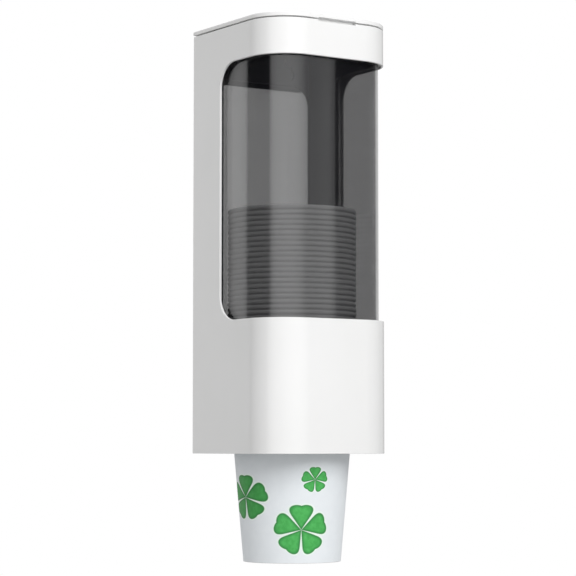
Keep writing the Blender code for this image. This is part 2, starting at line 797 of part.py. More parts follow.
def make_cup_stack():
    """The nested cups above the hanging one, as one ribbed body with the top cup's hollow."""
    base = lowest_rim_height - cup_height
    floor = stack_top_height - cup_height + cup_base_recess + cup_base_thickness
    floor_radius = cup_base_radius - cup_wall + cup_slope * cup_base_recess
    groove_radius = cup_rim_radius - 2 * cup_roll_radius
    profile = [
        (0.0, floor),
        (floor_radius, floor),
        (groove_radius, stack_top_height - cup_roll_radius),
        (cup_rim_radius - cup_roll_radius, stack_top_height),
    ]
    for cup in range(stack_cups):
        rim_height = stack_top_height - cup * stack_pitch
        profile.append((cup_rim_radius, rim_height - cup_roll_radius))
        profile.append((groove_radius, rim_height - cup_roll_radius - stack_pitch / 2))
    profile.append((cup_base_radius, base))
    profile.append((0.0, base))
    stack = turned("cup_stack", profile, stack_segments, (0, axis_y, base_z))
    as_part(stack, "cup_stack", finish_material("stack_paper", paper, 0.7))


def make_hanging_cup():
    """The lowest cup, held by its rolled rim, that the hand pulls down."""
    roll_radius_from_axis = cup_rim_radius - cup_roll_radius
    roll_height = cup_height - cup_roll_radius
    floor = cup_base_recess + cup_base_thickness
    profile = [(0.0, floor), (cup_base_radius - cup_wall + cup_slope * floor, floor)]
    for step in range(roll_steps + 1):
        angle = math.pi - math.tau * roll_turn_share * step / roll_steps
        profile.append((roll_radius_from_axis + cup_roll_radius * math.cos(angle),
                        roll_height + cup_roll_radius * math.sin(angle)))
    profile += [
        (cup_neck_radius, cup_neck_height),
        (cup_base_radius, 0.0),
        (cup_base_radius - 2 * cup_wall, 0.0),
        (cup_base_radius - 2 * cup_wall, cup_base_recess),
        (0.0, cup_base_recess),
    ]
    cup = turned("hanging_cup", profile, cup_segments, (0, axis_y, base_z - cup_hang))
    as_part(cup, "hanging_cup", finish_material("cup_paper", paper, 0.7))


make_housing()
make_smoke_window()
make_guide_frame()
make_rear_pane()
make_base_plate()
make_base_screws()
make_grippers()
make_lid()
make_hinge_pins()
make_wall_bracket()
make_wall_pad()
make_rear_bumpers()
make_cup_stack()
make_hanging_cup()
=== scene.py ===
"""Wall cup dispenser: the looks of a white cup dispenser with a smoke window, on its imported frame.

Metres, +Z up, +X to the viewer's right, -Y towards the viewer. The wall is the plane Y = 0.
"""

import math

import bmesh
import bpy
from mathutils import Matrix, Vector


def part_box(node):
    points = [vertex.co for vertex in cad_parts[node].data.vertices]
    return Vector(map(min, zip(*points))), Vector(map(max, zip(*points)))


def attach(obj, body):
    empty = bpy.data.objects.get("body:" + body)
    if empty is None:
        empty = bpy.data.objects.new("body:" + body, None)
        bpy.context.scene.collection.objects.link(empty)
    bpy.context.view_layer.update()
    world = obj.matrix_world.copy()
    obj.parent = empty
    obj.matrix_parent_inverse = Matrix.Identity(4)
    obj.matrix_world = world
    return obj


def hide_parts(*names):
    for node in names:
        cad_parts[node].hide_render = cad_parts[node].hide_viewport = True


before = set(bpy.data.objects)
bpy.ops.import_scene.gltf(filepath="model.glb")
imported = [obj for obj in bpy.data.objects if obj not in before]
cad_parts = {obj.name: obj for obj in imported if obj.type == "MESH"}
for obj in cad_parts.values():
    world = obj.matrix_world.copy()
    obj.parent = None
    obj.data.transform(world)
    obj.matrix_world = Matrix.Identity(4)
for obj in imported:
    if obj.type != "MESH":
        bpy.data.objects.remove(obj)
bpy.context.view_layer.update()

# Camera: a long lens from the left of the cabinet and a little below its middle, looking slightly up,
# so that the upright edges stay upright.
camera_place = (-0.7072, -1.1022, -0.2303)
camera_turn_deg = 33.66
camera_tilt_deg = 4.13
camera_lens_mm = 133.47
camera_sensor_mm = 36.0
camera_near_clip = 0.01

bpy.ops.object.select_all(action="DESELECT")
bpy.ops.object.camera_add(
    location=camera_place,
    rotation=(math.radians(90 + camera_tilt_deg), 0, math.radians(-camera_turn_deg)))
camera = bpy.context.object
camera.name = "photo_camera"
camera.data.sensor_width = camera_sensor_mm
camera.data.lens = camera_lens_mm
camera.data.clip_start = camera_near_clip
bpy.context.scene.camera = camera
bpy.context.scene.view_settings.view_transform = "Standard"

# Studio: a white sweep all round, a long pale panel in front that the smoke sheet mirrors between two
# dark flags, a soft lamp high in front, a weaker one behind, and a pale floor below the cabinet. Places
# on the sweep run from 0 to 1 with 0.5 straight in front, and each has the level that a mirror sees there.
floor_z = -0.45
floor_radius = 1.1
floor_sides = 96
floor_tones = (0.80, 0.84)
floor_fibre_scale = 260.0
floor_fibre_detail = 3.0
floor_bounce_loss = 0.5
floor_fade_from = 0.35
floor_fade_to = 1.0
key_turn_deg = -9.0
key_rise_deg = 28.0
key_power = 13.9
fill_turn_deg = 150.0
fill_rise_deg = 20.0
fill_power = 8.0
lamp_distance = 1.5
lamp_size = 0.9
lamp_aim = (0, -0.045, -0.14)
studio_fill = 0.475
fill_from_above = 0.9
panel_strength = 2.4
sweep_levels = [
    (0.0, 0.45), (0.085, 0.45), (0.095, 0.0), (0.2600, 0.0), (0.2755, 0.34), (0.2920, 0.60),
    (0.3315, 0.82), (0.43, 0.88), (0.488, 0.84), (0.525, 0.77), (0.56, 0.63), (0.595, 0.48),
    (0.605, 0.0), (0.770, 0.0), (0.774, 0.17), (0.81, 0.14),
]
rear_flag_edge = (0.088, 0.092)
rear_flag_levels = [
    (0.0, 0.38), (0.22, 0.46), (0.30, 0.50), (0.40, 0.51), (0.50, 0.49), (0.617, 0.43), (0.645, 0.0),
]
panel_edge = (0.592, 0.608)
panel_edge_levels = [
    (0.0, 0.50), (0.21, 0.385), (0.265, 0.46), (0.29, 0.45), (0.299, 0.36), (0.3125, 0.31), (0.318, 0.0),
]


def node(tree, kind, links=(), **settings):
    """A shader node with its settings, and its inputs set or joined by name or number."""
    made = tree.nodes.new(kind)
    for key, value in settings.items():
        setattr(made, key, value)
    for key, value in dict(links).items():
        if isinstance(value, bpy.types.NodeSocket):
            tree.links.new(value, made.inputs[key])
        else:
            made.inputs[key].default_value = value
    return made


def work_out(tree, operation, *values):
    """One step of arithmetic on sockets or numbers."""
    return node(tree, "ShaderNodeMath", enumerate(values), operation=operation).outputs[0]


def set_ramp(ramp, stops):
    """Gives a colour ramp its stops as (place, grey or colour)."""
    while len(ramp.elements) < len(stops):
        ramp.elements.new(0.5)
    for element, (place, tone) in zip(ramp.elements, stops):
        element.position = place
        element.color = (tone, tone, tone, 1) if isinstance(tone, float) else (*tone, 1)


def seen_directly(tree):
    """The kind of ray, and 1 for what the lens or a clear sheet sees, 0 for what lights the object."""
    path = node(tree, "ShaderNodeLightPath")
    seen = work_out(tree, "ADD", path.outputs["Is Camera Ray"], path.outputs["Is Transmission Ray"])
    return path, seen


def banded(tree, share, span, stops, rest):
    """A stretched ramp between two places on the sweep, and the rest of the sweep outside them."""
    low, high = span
    place = node(tree, "ShaderNodeMapRange", {"Value": share, "From Min": low, "From Max": high})
    ramp = node(tree, "ShaderNodeValToRGB", {0: place.outputs[0]})
    set_ramp(ramp.color_ramp, stops)
    inside = work_out(
        tree, "MULTIPLY", work_out(tree, "GREATER_THAN", share, low),
        work_out(tree, "LESS_THAN", share, high))
    return node(tree, "ShaderNodeMix", {0: inside, 2: rest, 3: ramp.outputs["Color"]}).outputs[0]


def make_studio_sky():
    """The sweep: white to the eye, panel and flags to a mirror, and an even fill for the object."""
    world = bpy.data.worlds.new("studio_sky")
    world.use_nodes = True
    bpy.context.scene.world = world
    tree = world.node_tree
    tree.nodes.clear()
    path, seen = seen_directly(tree)
    direction = node(tree, "ShaderNodeTexCoord").outputs["Generated"]
    parts = node(tree, "ShaderNodeSeparateXYZ", {0: direction})
    toward = work_out(tree, "MULTIPLY", parts.outputs["Y"], -1.0)
    turn = work_out(tree, "ARCTAN2", parts.outputs["X"], toward)
    share = work_out(tree, "ADD", work_out(tree, "DIVIDE", turn, math.tau), 0.5)
    ramp = node(tree, "ShaderNodeValToRGB", {0: share})
    set_ramp(ramp.color_ramp, sweep_levels)
    level = banded(tree, share, rear_flag_edge, rear_flag_levels, ramp.outputs["Color"])
    level = banded(tree, share, panel_edge, panel_edge_levels, level)
    mirrored = work_out(tree, "MULTIPLY", level, panel_strength)
    mirrored = work_out(tree, "MULTIPLY", mirrored, path.outputs["Is Glossy Ray"])
    direct = work_out(tree, "MAXIMUM", seen, path.outputs["Is Glossy Ray"])
    lighting = work_out(tree, "MULTIPLY", work_out(tree, "SUBTRACT", 1.0, direct), studio_fill)
    rising = work_out(tree, "MULTIPLY", parts.outputs["Z"], fill_from_above)
    lighting = work_out(tree, "MULTIPLY", lighting, work_out(tree, "ADD", rising, 1.0))
    strength = work_out(tree, "ADD", work_out(tree, "ADD", seen, mirrored), lighting)
    sky = node(tree, "ShaderNodeBackground", {"Color": (1, 1, 1, 1), "Strength": strength})
    node(tree, "ShaderNodeOutputWorld", {"Surface": sky.outputs[0]})


def add_lamp(name, turn_deg, rise_deg, power):
    """A square soft lamp that faces the middle of the cabinet."""
    turn, rise = math.radians(turn_deg), math.radians(rise_deg)
    away = Vector((math.sin(turn) * math.cos(rise), -math.cos(turn) * math.cos(rise), math.sin(rise)))
    bpy.ops.object.light_add(type="AREA", location=Vector(lamp_aim) + away * lamp_distance)
    lamp = bpy.context.object
    lamp.name = name
    lamp.rotation_euler = away.to_track_quat("Z", "Y").to_euler()
    lamp.data.size = lamp_size
    lamp.data.energy = power
    lamp.visible_glossy = False


def make_floor():
    """A round pale floor that fades to the white sweep, keeps the shadow, and is clear from below."""
    bpy.ops.object.select_all(action="DESELECT")
    bpy.ops.mesh.primitive_circle_add(
        vertices=floor_sides, radius=floor_radius, fill_type="NGON", location=(0, 0, floor_z))
    floor = bpy.context.object
    floor.name = "studio_floor"
    bpy.ops.object.transform_apply(location=True, rotation=True, scale=True)
    finish = bpy.data.materials.new("floor_paper")
    finish.use_nodes = True
    tree = finish.node_tree
    tree.nodes.clear()
    place = node(tree, "ShaderNodeTexCoord").outputs["Object"]
    fibre = node(
        tree, "ShaderNodeTexNoise",
        {"Vector": place, "Scale": floor_fibre_scale, "Detail": floor_fibre_detail})
    tone = node(
        tree, "ShaderNodeMapRange",
        {"Value": fibre.outputs["Fac"], "To Min": floor_tones[0], "To Max": floor_tones[1]})
    path, seen = seen_directly(tree)
    bounced = work_out(tree, "MULTIPLY", path.outputs["Is Diffuse Ray"], floor_bounce_loss)
    tone = work_out(tree, "MULTIPLY", tone.outputs[0], work_out(tree, "SUBTRACT", 1.0, bounced))
    paper = node(tree, "ShaderNodeBsdfDiffuse", {"Color": tone})
    flat = node(tree, "ShaderNodeVectorMath", {0: place, 1: (1, 1, 0)}, operation="MULTIPLY")
    reach = node(tree, "ShaderNodeVectorMath", {0: flat.outputs[0]}, operation="LENGTH")
    fade = node(
        tree, "ShaderNodeMapRange",
        {"Value": reach.outputs["Value"], "From Min": floor_fade_from, "From Max": floor_fade_to},
        interpolation_type="SMOOTHSTEP")
    seen = work_out(tree, "MAXIMUM", seen, path.outputs["Is Glossy Ray"])
    white = node(tree, "ShaderNodeEmission", {"Color": (1, 1, 1, 1), "Strength": 1.0})
    factor = work_out(tree, "MULTIPLY", fade.outputs[0], seen)
    mixed = node(tree, "ShaderNodeMixShader", {0: factor, 1: paper.outputs[0], 2: white.outputs[0]})
    below = node(tree, "ShaderNodeNewGeometry").outputs["Backfacing"]
    clear = node(tree, "ShaderNodeBsdfTransparent")
    one_way = node(tree, "ShaderNodeMixShader", {0: below, 1: mixed.outputs[0], 2: clear.outputs[0]})
    node(tree, "ShaderNodeOutputMaterial", {"Surface": one_way.outputs[0]})
    floor.data.materials.append(finish)


make_studio_sky()
add_lamp("key_lamp", key_turn_deg, key_rise_deg, key_power)
add_lamp("fill_lamp", fill_turn_deg, fill_rise_deg, fill_power)
make_floor()

# Wall bracket: a moulded black nylon plate with two headed hooks. A thin foam adhesive pad behind it
# sticks it to the wall, and the cabinet's back drops over the hooks by its keyholes.
bracket_edge = 0.0004
bracket_black = (0.022, 0.022, 0.024)
bracket_worn = (0.030, 0.030, 0.032)
pad_edge = 0.0001
pad_grey = (0.10, 0.10, 0.105)
pad_worn = (0.07, 0.07, 0.075)
tone_band = (0.35, 0.65)
gloss_band = (0.3, 0.7)
drift_detail = 3.0
grain_detail = 4.0
flat_face_weight = 80
copy_gap = 0.00001
copy_flat_deg = 1.0


def moulded(name, tone, worn, drift, grain, depth, rough, **constants):
    """A moulded finish: its tone drifts slowly, and a fine grain breaks its gloss and its surface."""
    finish = bpy.data.materials.new(name)
    finish.use_nodes = True
    tree = finish.node_tree
    shader = tree.nodes["Principled BSDF"]
    place = node(tree, "ShaderNodeTexCoord").outputs["Object"]
    slow = node(
        tree, "ShaderNodeTexNoise", {"Vector": place, "Scale": 1 / drift, "Detail": drift_detail})
    ramp = node(tree, "ShaderNodeValToRGB", {0: slow.outputs["Fac"]})
    set_ramp(ramp.color_ramp, [(tone_band[0], worn), (tone_band[1], tone)])
    tree.links.new(ramp.outputs["Color"], shader.inputs["Base Color"])
    fine = node(
        tree, "ShaderNodeTexNoise", {"Vector": place, "Scale": 1 / grain, "Detail": grain_detail})
    gloss = node(
        tree, "ShaderNodeMapRange",
        {"Value": fine.outputs["Fac"], "From Min": gloss_band[0], "From Max": gloss_band[1],
         "To Min": rough[0], "To Max": rough[1]})
    tree.links.new(gloss.outputs[0], shader.inputs["Roughness"])
    bump = node(
        tree, "ShaderNodeBump", {"Strength": 1.0, "Distance": depth, "Height": fine.outputs["Fac"]})
    tree.links.new(bump.outputs["Normal"], shader.inputs["Normal"])
    for socket, value in constants.items():
        shader.inputs[socket.replace("_", " ")].default_value = value
    return finish


def make_active(piece):
    """Selects one piece alone."""
    bpy.ops.object.select_all(action="DESELECT")
    piece.select_set(True)
    bpy.context.view_layer.objects.active = piece


def modify(piece, kind, **settings):
    """Adds a modifier with its settings and applies it."""
    make_active(piece)
    step = piece.modifiers.new(kind.lower(), kind)
    for key, value in settings.items():
        setattr(step, key, value)
    bpy.ops.object.modifier_apply(modifier=step.name)


def smooth(piece, angle_deg=35.0):
    """Shades a piece smooth but for its sharp edges, with the flat faces kept flat."""
    make_active(piece)
    bpy.ops.object.shade_smooth_by_angle(angle=math.radians(angle_deg))
    modify(piece, "WEIGHTED_NORMAL", keep_sharp=True, weight=flat_face_weight)


def soften(piece, width, steps=2, angle_deg=40.0, clamp=True):
    """Rounds every crisp edge a little, as a mould leaves it."""
    modify(
        piece, "BEVEL", width=width, segments=steps, limit_method="ANGLE", use_clamp_overlap=clamp,
        angle_limit=math.radians(angle_deg), harden_normals=False, miter_outer="MITER_ARC")


def copied_solid(name, node_name):
    """A copy of a CAD solid, merged into whole flat faces, ready to be softened."""
    make_active(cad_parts[node_name])
    bpy.ops.object.duplicate()
    piece = bpy.context.object
    for key in [key for key in piece.keys() if key.startswith("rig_")]:
        del piece[key]
    piece.parent = None
    piece.name = name
    piece.data.name = name
    bpy.ops.object.mode_set(mode="EDIT")
    bpy.ops.mesh.select_all(action="SELECT")
    bpy.ops.mesh.remove_doubles(threshold=copy_gap)
    bpy.ops.mesh.customdata_custom_splitnormals_clear()
    bpy.ops.mesh.mark_sharp(clear=True)
    bpy.ops.mesh.dissolve_limited(angle_limit=math.radians(copy_flat_deg))
    bpy.ops.object.mode_set(mode="OBJECT")
    return piece


def softened_solid(name, node_name, width, steps=2):
    """A copy of a CAD solid with its crisp edges rounded."""
    piece = copied_solid(name, node_name)
    soften(piece, width, steps)
    smooth(piece)
    return piece


def fit(piece, body, finish, slot_name, *nodes):
    """Gives a finished piece its finish, hangs it on the body that it rides on, and hides the CAD nodes
    that it stands for.
    """
    piece.data.materials.clear()
    piece.data.materials.append(finish)
    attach(piece, body)
    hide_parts(*nodes)
    return piece


bracket = softened_solid("bracket_plate", "wall_bracket", bracket_edge)
bracket_finish = moulded(
    "bracket_nylon", bracket_black, bracket_worn, drift=0.012, grain=0.0004, depth=0.00002,
    rough=(0.42, 0.56))
fit(bracket, "wall_mount", bracket_finish, "bracket_black", "wall_bracket")

pad = softened_solid("adhesive_pad", "wall_pad", pad_edge)
pad_finish = moulded(
    "pad_foam_cells", pad_grey, pad_worn, drift=0.0012, grain=0.0005, depth=0.00012, rough=(0.82, 0.95))
fit(pad, "wall_mount", pad_finish, "pad_foam", "wall_pad")

# Rear pane: a smoke acrylic plate in the frame's back, cut by laser, so its edges are square and
# polished. The light of the room comes through it above the cups.
pane_smoke = (0.012, 0.012, 0.014)
pane_cover = 0.40
pane_edge = 0.00012
wipe_paler = 1.3


def acrylic(name, tone, cover):
    """Smoke acrylic: a clear dark sheet with faint wiping marks in its polish."""
    wiped = tuple(part * wipe_paler for part in tone)
    finish = moulded(
        name, tone, wiped, drift=0.020, grain=0.0030, depth=0.0000002, rough=(0.010, 0.030),
        Alpha=cover, IOR=1.49, Specular_IOR_Level=0.8, Coat_Weight=1.0, Coat_Roughness=0.01)
    finish.surface_render_method = "DITHERED"
    return finish


pane = softened_solid("rear_smoke_pane", "rear_pane", pane_edge)
fit(pane, "cabinet", acrylic("rear_smoke", pane_smoke, pane_cover), "smoke_pane", "rear_pane")

# Smoke sheet: one strip of smoke acrylic bent hot round both front corners. It is trapped between the
# housing and the guide frame and shows through the housing's window.
half_width = 0.0450
front_y = -0.0923
back_y = -0.0038
base_z = -0.2370
seam_z = 0.0151
corner_radius = 0.0245
window_bottom_z = -0.1585
window_top_z = -0.0071
window_rear_y = -0.0355
overrun = 0.004
bend_steps = 32
sheet_inset = 0.0031
sheet_wall = 0.0015
sheet_rear_y = -0.0235
sheet_low_z = -0.1745
sheet_high_z = 0.0089
sheet_edge = 0.00015
sheet_smoke = (0.010, 0.010, 0.012)
sheet_cover = 0.413
same_place = 0.0001


def block(name, low, high):
    """A block between two corners, with its place in its mesh."""
    low, high = Vector(low), Vector(high)
    bpy.ops.object.select_all(action="DESELECT")
    bpy.ops.mesh.primitive_cube_add(size=1, location=(low + high) / 2, scale=high - low)
    piece = bpy.context.object
    piece.name = name
    piece.data.name = name
    bpy.ops.object.transform_apply(location=True, rotation=True, scale=True)
    return piece


def pick(piece, kind, wanted):
    """In edit mode, selects the faces or edges whose points all pass a test."""
    make_active(piece)
    bpy.ops.object.mode_set(mode="EDIT")
    bpy.ops.mesh.select_mode(type=kind)
    bpy.ops.mesh.select_all(action="DESELECT")
    work = bmesh.from_edit_mesh(piece.data)
    for part in (work.faces if kind == "FACE" else work.edges):
        if wanted([vert.co for vert in part.verts]):
            part.select_set(True)
    bmesh.update_edit_mesh(piece.data)


def near(a, b):
    """True where two places agree to a tenth of a millimetre."""
    return abs(a - b) < same_place


def round_edges(piece, wanted, radius, steps):
    """Rounds the edges that a test picks."""
    pick(piece, "EDGE", wanted)
    bpy.ops.mesh.bevel(offset=radius, segments=steps, affect="EDGES", clamp_overlap=False)
    bpy.ops.object.mode_set(mode="OBJECT")


def combine(piece, tool, operation):
    """Cuts a tool out of a piece, or joins it on, and removes the tool."""
    modify(piece, "BOOLEAN", operation=operation, solver="EXACT", object=tool)
    bpy.data.objects.remove(tool, do_unlink=True)


def bent_wall(name, inset, wall, rear_y, low_z, high_z):
    """An upright wall bent round both front corners and open at the rear, inset from the housing."""
    side = half_width - inset
    front = front_y + inset
    piece = block(name, (-side, front, low_z), (side, rear_y, high_z))
    pick(
        piece, "FACE", lambda points: all(near(p.z, low_z) for p in points)
        or all(near(p.z, high_z) for p in points) or all(near(p.y, rear_y) for p in points))
    bpy.ops.mesh.delete(type="FACE")
    bpy.ops.object.mode_set(mode="OBJECT")
    round_edges(
        piece, lambda points: all(near(p.y, front) for p in points) and near(points[0].x, points[1].x),
        corner_radius - inset, bend_steps)
    modify(piece, "SOLIDIFY", thickness=wall, offset=-1.0, use_even_offset=True)
    return piece


sheet = bent_wall("smoke_sheet", sheet_inset, sheet_wall, sheet_rear_y, sheet_low_z, sheet_high_z)
soften(sheet, sheet_edge)
smooth(sheet)
sheet_finish = acrylic("smoke_sheet_polish", sheet_smoke, sheet_cover)
fit(sheet, "cabinet", sheet_finish, "smoke_acrylic", "smoke_window")

# Guide frame: one black moulding that guides the cups, lines the cabinet and carries the hinge, the
# keyholes and two screw bosses. Both rear edges of its window are bevelled inside, and its faces are
# finely spark-eroded.
frame_edge = 0.00018
frame_black = (0.018, 0.018, 0.020)
frame_worn = (0.024, 0.024, 0.026)
frame_side_x = 0.0402
frame_inner_x = 0.0374
frame_setback = 0.0042
frame_rear_y = window_rear_y + frame_setback
window_middle_z = (window_bottom_z + window_top_z) / 2
wedge_length = 0.0100
wedge_lap = 0.0015
wedge_corner = 0.0090
wedge_corner_steps = 12
wedge_reach = 0.0040
wedge_taper = (0.05, 1, 0.94)
guide = copied_solid("guide_moulding", "guide_frame")
for sign in (-1, 1):
    sides = sorted((sign * frame_side_x, sign * frame_inner_x))
    wedge = block(
        "frame_wedge", (sides[0], frame_rear_y - wedge_length, window_bottom_z - wedge_lap),
        (sides[1], frame_rear_y, window_top_z + wedge_lap))
    round_edges(
        wedge, lambda points: all(near(p.y, frame_rear_y) for p in points)
        and near(points[0].z, points[1].z), wedge_corner, wedge_corner_steps)
    pick(wedge, "FACE", lambda points: all(near(p.y, frame_rear_y) for p in points))
    bpy.ops.mesh.extrude_region_move(TRANSFORM_OT_translate={"value": (0, wedge_reach, 0)})
    bpy.ops.transform.resize(
        value=wedge_taper, center_override=(sign * frame_inner_x, 0, window_middle_z))
    bpy.ops.object.mode_set(mode="OBJECT")
    combine(guide, wedge, "DIFFERENCE")
soften(guide, frame_edge)
smooth(guide)
guide_finish = moulded(
    "frame_moulding", frame_black, frame_worn, drift=0.030, grain=0.0005, depth=0.00002,
    rough=(0.40, 0.55))
fit(guide, "cabinet", guide_finish, "frame_black", "guide_frame")

# Housing: a glossy white moulding that wraps the front and both sides. Its window has rounded rear
# corners, walls that slope outward and a thin lip, and four blind bosses in its foot take the base screws.
housing_wall = 0.0028
housing_top_z = 0.0146
housing_edge = 0.00025
housing_edge_steps = 3
rear_corner_radius = 0.0015
rear_corner_steps = 5
window_corner = 0.0145
window_corner_steps = 16
slope_width = 0.0006
slope_depth = 0.0027
lip_wall = 0.0012
rebate_overrun = 0.0009
rebate_lap = 0.0025
notch_half_width = 0.0132
notch_drop = 0.0009
boss_places = [(-0.0195, -0.0868), (0.0195, -0.0868), (-0.0395, -0.0180), (0.0395, -0.0180)]
boss_radius = 0.0032
boss_low_z = -0.2319
boss_high_z = -0.2209
hole_radius = 0.0014
hole_top_z = -0.2252
hole_overrun = 0.001
hole_sides = 16
weld_gap = 0.00002
weld_flat_deg = 0.5
housing_white = (0.875, 0.875, 0.872)
housing_worn = (0.855, 0.855, 0.850)


def on_outside(point):
    """True for a point on the housing's outer face, seen in plan."""
    centre_x, centre_y = half_width - corner_radius, front_y + corner_radius
    if abs(point.x) > centre_x and point.y < centre_y:
        return near(math.hypot(abs(point.x) - centre_x, point.y - centre_y), corner_radius)
    return near(abs(point.x), half_width) or near(point.y, front_y)


def on_window(point):
    """True for a point on the edge of the window's cut."""
    rear = window_rear_y - window_corner
    if point.y <= rear + same_place:
        return near(point.z, window_bottom_z) or near(point.z, window_top_z)
    for level in (window_bottom_z + window_corner, window_top_z - window_corner):
        beyond = point.z < level if level < window_middle_z else point.z > level
        if beyond:
            return near(math.hypot(point.y - rear, point.z - level), window_corner)
    return near(point.y, window_rear_y)


def window_tool():
    """The window's shape seen from the side, long enough to cut both side walls."""
    reach = half_width + overrun
    tool = block(
        "window_tool", (-reach, front_y - overrun, window_bottom_z), (reach, window_rear_y, window_top_z))
    round_edges(
        tool, lambda points: all(near(p.y, window_rear_y) for p in points)
        and near(points[0].z, points[1].z), window_corner, window_corner_steps)
    return tool


def rod(name, radius, low, high, sides=32):
    """A round bar between two points that differ along one axis."""
    low, high = Vector(low), Vector(high)
    along = high - low
    turn = along.to_track_quat("Z", "Y").to_euler()
    bpy.ops.object.select_all(action="DESELECT")
    bpy.ops.mesh.primitive_cylinder_add(
        vertices=sides, radius=radius, depth=along.length, location=(low + high) / 2, rotation=turn)
    piece = bpy.context.object
    piece.name = name
    piece.data.name = name
    bpy.ops.object.transform_apply(location=True, rotation=True, scale=True)
    return piece


def slope_window(piece):
    """Slopes the walls of the window's cut through the housing, so that it widens outward."""
    pick(piece, "EDGE", lambda points: all(on_outside(p) and on_window(p) for p in points))
    bpy.ops.transform.edge_bevelweight(value=1.0)
    bpy.ops.object.mode_set(mode="OBJECT")
    make_active(piece)
    step = piece.modifiers.new("slope", "BEVEL")
    step.limit_method = "WEIGHT"
    step.width = slope_depth
    step.segments = 2
    step.use_clamp_overlap = False
    step.profile_type = "CUSTOM"
    points = step.custom_profile.points
    places = ((1.0, 0.0), (1 - slope_width / slope_depth, 1.0), (0.0, 1.0))
    while len(points) < len(places):
        points.add(0.5, 0.5)
    for point, place in zip(points, places):
        point.location = place
        point.handle_type_1 = "VECTOR"
        point.handle_type_2 = "VECTOR"
    step.custom_profile.update()
    bpy.ops.object.modifier_apply(modifier=step.name)


def weld(piece):
    """Merges the stray points that cuts leave, fills their pinholes and joins flat faces."""
    make_active(piece)
    bpy.ops.object.mode_set(mode="EDIT")
    bpy.ops.mesh.select_all(action="SELECT")
    bpy.ops.mesh.remove_doubles(threshold=weld_gap)
    bpy.ops.mesh.fill_holes(sides=4)
    bpy.ops.mesh.select_all(action="SELECT")
    bpy.ops.mesh.dissolve_limited(angle_limit=math.radians(weld_flat_deg))
    bpy.ops.mesh.normals_make_consistent(inside=False)
    bpy.ops.object.mode_set(mode="OBJECT")


housing = bent_wall("housing_cover", 0.0, housing_wall, back_y, base_z, housing_top_z)
round_edges(
    housing, lambda points: all(near(p.y, back_y) and near(abs(p.x), half_width) for p in points)
    and not near(points[0].z, points[1].z), rear_corner_radius, rear_corner_steps)
combine(housing, window_tool(), "DIFFERENCE")
slope_window(housing)
rebate = bent_wall(
    "sheet_rebate", lip_wall, housing_wall - lip_wall + rebate_overrun, window_rear_y + rebate_lap,
    window_bottom_z - rebate_lap, window_top_z + rebate_lap)
combine(housing, rebate, "DIFFERENCE")
notch = block(
    "finger_notch", (-notch_half_width, front_y - overrun, housing_top_z - notch_drop),
    (notch_half_width, front_y + overrun, seam_z))
combine(housing, notch, "DIFFERENCE")
weld(housing)
soften(housing, housing_edge, housing_edge_steps, clamp=False)
for x, y in boss_places:
    boss = rod("boss", boss_radius, (x, y, boss_low_z), (x, y, boss_high_z))
    combine(housing, boss, "UNION")
    hole = rod("hole", hole_radius, (x, y, boss_low_z - hole_overrun), (x, y, hole_top_z), hole_sides)
    combine(housing, hole, "DIFFERENCE")
weld(housing)
smooth(housing)
housing_finish = moulded(
    "housing_gloss", housing_white, housing_worn, drift=0.060, grain=0.0016, depth=0.0000030,
    rough=(0.12, 0.18))
fit(housing, "cabinet", housing_finish, "housing_white", "housing")

# Rear bumpers: two soft rubber discs stuck low on the back. They keep the cabinet upright against the
# wall, level with the bracket that it hangs on.
bumper_x = 0.0330
bumper_z = -0.2250
bumper_radius = 0.0050
bumper_depth = 0.0035
bumper_sides = 48
bumper_edge = 0.0006
bumper_edge_steps = 4
bumper_black = (0.045, 0.045, 0.047)
bumper_worn = (0.065, 0.065, 0.067)
bumper_finish = moulded(
    "bumper_rubber_skin", bumper_black, bumper_worn, drift=0.004, grain=0.0003, depth=0.00002,
    rough=(0.72, 0.88))
for side_name, sign in (("left", -1), ("right", 1)):
    x = sign * bumper_x
    bumper = rod(
        "bumper_" + side_name, bumper_radius, (x, -bumper_depth, bumper_z), (x, 0.0, bumper_z),
        bumper_sides)
    soften(bumper, bumper_edge, bumper_edge_steps)
    smooth(bumper)
    fit(bumper, "cabinet", bumper_finish, "bumper_rubber", "rear_bumper_" + side_name)

# Base plate: a white moulding screwed up into the housing's foot. Its round mouth lets the cup pass,
# and four pairs of rails guide the grippers over it.
plate_edge = 0.00025
plate_white = (0.86, 0.86, 0.855)
plate_worn = (0.83, 0.83, 0.825)
plate = softened_solid("mouth_plate", "base_plate", plate_edge)
plate_finish = moulded(
    "plate_moulding", plate_white, plate_worn, drift=0.040, grain=0.0008, depth=0.000006,
    rough=(0.32, 0.42))
fit(plate, "cabinet", plate_finish, "plate_white", "base_plate")

# Grippers: four white sliders between the rails, each with a soft silicone finger under the cup's
# rolled rim, held by a clamping screw from below.
gripper_names = ("rear_right", "rear_left", "front_left", "front_right")
slider_edge = 0.0003
slider_white = (0.85, 0.85, 0.845)
slider_worn = (0.82, 0.82, 0.815)
finger_edge = 0.0004
finger_edge_steps = 3
finger_grey = (0.55, 0.57, 0.58)
finger_worn = (0.50, 0.52, 0.53)
slider_finish = moulded(
    "slider_moulding", slider_white, slider_worn, drift=0.010, grain=0.0006, depth=0.000006,
    rough=(0.36, 0.46))
finger_finish = moulded(
    "finger_silicone_skin", finger_grey, finger_worn, drift=0.004, grain=0.0004, depth=0.00001,
    rough=(0.45, 0.60), Subsurface_Weight=0.2, Subsurface_Scale=0.002)
for gripper in gripper_names:
    slider = softened_solid("gripper_block_" + gripper, "slider_" + gripper, slider_edge)
    fit(slider, "gripper_" + gripper, slider_finish, "slider_white", "slider_" + gripper)
    finger = softened_solid(
        "gripper_finger_" + gripper, "finger_" + gripper, finger_edge, finger_edge_steps)
    fit(finger, "gripper_" + gripper, finger_finish, "finger_silicone", "finger_" + gripper)

